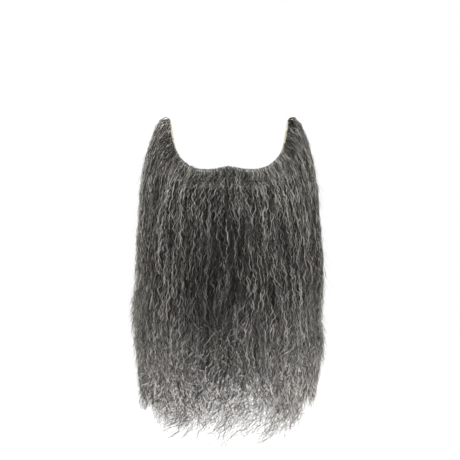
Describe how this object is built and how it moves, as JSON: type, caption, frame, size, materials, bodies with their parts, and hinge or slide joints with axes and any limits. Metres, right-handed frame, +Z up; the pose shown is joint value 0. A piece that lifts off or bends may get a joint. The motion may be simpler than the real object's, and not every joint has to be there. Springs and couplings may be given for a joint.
{
  "type": "fake beard",
  "caption": "Long full fake beard of crimped grey hair on a net base that cups the chin and jaw and rises to a point before each ear.",
  "frame": {"origin": "on the inner face of the net, at the front of the chin, where the beard sits on the face", "axes": "+Z up towards the sideburns, -Y to the front, +X to the right of someone who looks at the front"},
  "size_m": [0.2475, 0.1304, 0.4071],
  "materials": {
    "lace": "fine pale olive net, matte",
    "hair": "crimped dark and light grey hair, soft sheen"
  },
  "bodies": {
    "root": {"lace_base": "lace", "chin_hair": "hair", "cheek_hair_left": "hair", "cheek_hair_right": "hair", "sideburn_hair_left": "hair", "sideburn_hair_right": "hair", "under_chin_hair": "hair", "lip_tuft": "hair"}
  },
  "joints": []
}
